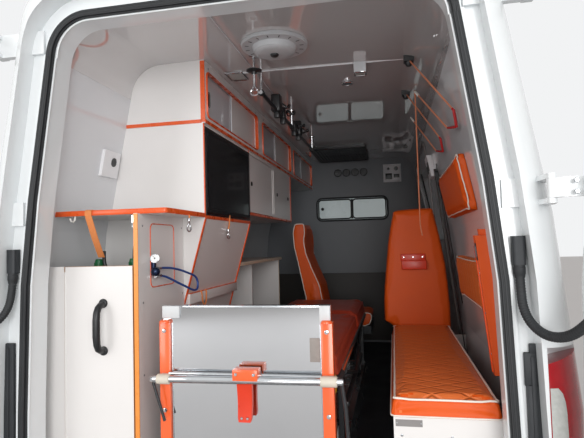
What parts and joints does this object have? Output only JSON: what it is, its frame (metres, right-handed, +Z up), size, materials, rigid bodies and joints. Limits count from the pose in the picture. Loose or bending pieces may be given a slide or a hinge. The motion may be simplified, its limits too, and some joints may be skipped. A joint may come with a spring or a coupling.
{
  "type": "ambulance patient compartment",
  "caption": "Rear body of a high-roof van ambulance with open rear doors, holding a stretcher, folded loading ramp, lockers, side bench and attendant seat",
  "frame": {"origin": "midway between the four bolt holes under the underframe, on the rails' underside, on which the body stands", "axes": "+X to the vehicle's right, +Y forward towards the cab, +Z up"},
  "size_m": [3.468, 3.8888, 2.265],
  "materials": {
    "white body paint": "gloss",
    "white laminate": "satin",
    "white wall lining": "gloss",
    "grey bulkhead plastic": "satin",
    "orange vinyl": "satin",
    "orange enamel": "gloss",
    "stainless sheet": "mirror",
    "chromed tube": "polished",
    "black moulded plastic": "matte",
    "black seal rubber": "matte",
    "wheel rubber": "matte",
    "grey floor vinyl": "satin",
    "underframe paint": "satin",
    "smoked acrylic": "gloss",
    "white acrylic": "gloss",
    "window glass": "gloss",
    "frosted glass": "frosted",
    "red lamp plastic": "gloss",
    "clear lamp plastic": "gloss",
    "grey device plastic": "satin",
    "cylinder paint": "gloss"
  },
  "bodies": {
    "compartment": {"air_outlets": "grey device plastic", "backrest": "orange vinyl", "bail_strap": "orange vinyl", "bench_base": "white laminate", "black_trim": "black moulded plastic", "bulkhead": "grey bulkhead plastic", "bulkhead_window": "frosted glass", "ceiling_lamps": "clear lamp plastic", "ceiling_rail": "chromed tube", "control_panels": "grey device plastic", "door_cable_left": "black seal rubber", "door_cable_right": "black seal rubber", "drip_bails": "orange enamel", "floor_pan": "grey floor vinyl", "lining_ceiling": "white wall lining", "lining_left": "white wall lining", "lining_right": "white wall lining", "mattress_seat": "orange vinyl", "outer_lamps": "red lamp plastic", "overhead_lockers": "white laminate", "overhead_shelf": "white laminate", "oxygen_cylinders": "cylinder paint", "oxygen_hose": "black seal rubber", "oxygen_locker": "white laminate", "rear_frame": "white body paint", "rear_seal": "black seal rubber", "rear_step": "black moulded plastic", "roof": "white body paint", "screen_cabinet": "white laminate", "seat_pedestal": "chromed tube", "side_cushions": "orange vinyl", "sliding_door": "white body paint", "sliding_glass": "window glass", "stretcher_frame": "chromed tube", "stretcher_table": "stainless sheet", "tall_locker": "white laminate", "underframe": "underframe paint", "wall_left": "white body paint", "wall_right": "white body paint", "worktop": "white laminate"},
    "door_left": {"door_left": "white body paint", "door_left_glass": "window glass"},
    "door_right": {"door_right": "white body paint", "door_right_glass": "window glass"},
    "oxygen_door": {"oxygen_door": "white laminate", "oxygen_handle": "black moulded plastic"},
    "ramp": {"ramp_bar": "chromed tube", "ramp_deck": "stainless sheet", "ramp_rails": "orange enamel"},
    "bench_seat": {"bench_seat": "orange vinyl"},
    "attendant_seat": {"seat_cushions": "orange vinyl", "seat_shell": "black moulded plastic"},
    "overhead_pane_1": {"overhead_pane_1": "white acrylic"},
    "overhead_pane_2": {"overhead_pane_2": "white acrylic"},
    "overhead_pane_3": {"overhead_pane_3": "white acrylic"},
    "screen_flap": {"screen_flap": "smoked acrylic"},
    "tall_door": {"tall_door": "white laminate"},
    "mattress_back": {"mattress_back": "orange vinyl"},
    "wheels_rear": {"wheels_rear": "wheel rubber"},
    "wheels_front": {"wheels_front": "wheel rubber"}
  },
  "joints": [
    {"name": "door_left_hinge", "type": "hinge", "parent": "compartment", "child": "door_left", "pos_m": [-0.87, -1.81, 1], "axis": [0, 0, -1], "range_deg": [-180, 0], "deforming": ["door_cable_left"]},
    {"name": "door_right_hinge", "type": "hinge", "parent": "compartment", "child": "door_right", "pos_m": [0.87, -1.81, 1], "axis": [0, 0, 1], "range_deg": [-180, 0], "deforming": ["door_cable_right"]},
    {"name": "oxygen_door_hinge", "type": "hinge", "parent": "compartment", "child": "oxygen_door", "pos_m": [-0.7237, -1.553, 0.7], "axis": [0, 0, -1], "range_deg": [0, 75]},
    {"name": "ramp_fold", "type": "hinge", "parent": "compartment", "child": "ramp", "pos_m": [-0.04, -1.53, 0.31], "axis": [1, 0, 0], "range_deg": [0, 95]},
    {"name": "bench_lid_hinge", "type": "hinge", "parent": "compartment", "child": "bench_seat", "pos_m": [0.775, -0.9, 0.6903], "axis": [0, 1, 0], "range_deg": [0, 45]},
    {"name": "seat_swivel", "type": "hinge", "parent": "compartment", "child": "attendant_seat", "pos_m": [0.086, 0.7, 0.62], "axis": [0, 0, 1], "range_deg": [-90, 90]},
    {"name": "overhead_pane_1_slide", "type": "slide", "parent": "compartment", "child": "overhead_pane_1", "axis": [0, 1, 0], "range_m": [-0.062, 0.34]},
    {"name": "overhead_pane_2_slide", "type": "slide", "parent": "compartment", "child": "overhead_pane_2", "axis": [0, 1, 0], "range_m": [0, 0.42]},
    {"name": "overhead_pane_3_slide", "type": "slide", "parent": "compartment", "child": "overhead_pane_3", "axis": [0, 1, 0], "range_m": [0, 0.45]},
    {"name": "screen_flap_hinge", "type": "hinge", "parent": "compartment", "child": "screen_flap", "pos_m": [-0.3308, -0.8, 1.7551], "axis": [0, -1, 0], "range_deg": [0, 80]},
    {"name": "tall_door_hinge", "type": "hinge", "parent": "compartment", "child": "tall_door", "pos_m": [-0.331, 0.1397, 1.58], "axis": [0, 0, 1], "range_deg": [0, 95]},
    {"name": "mattress_back_tilt", "type": "hinge", "parent": "compartment", "child": "mattress_back", "pos_m": [0, -0.374, 0.84], "axis": [1, 0, 0], "range_deg": [0, 70]},
    {"name": "wheels_rear_spin", "type": "hinge", "parent": "compartment", "child": "wheels_rear", "pos_m": [0, -1.24, 0.4706], "axis": [1, 0, 0], "continuous": true},
    {"name": "wheels_front_spin", "type": "hinge", "parent": "compartment", "child": "wheels_front", "pos_m": [0, 0.04, 0.4706], "axis": [1, 0, 0], "continuous": true}
  ]
}
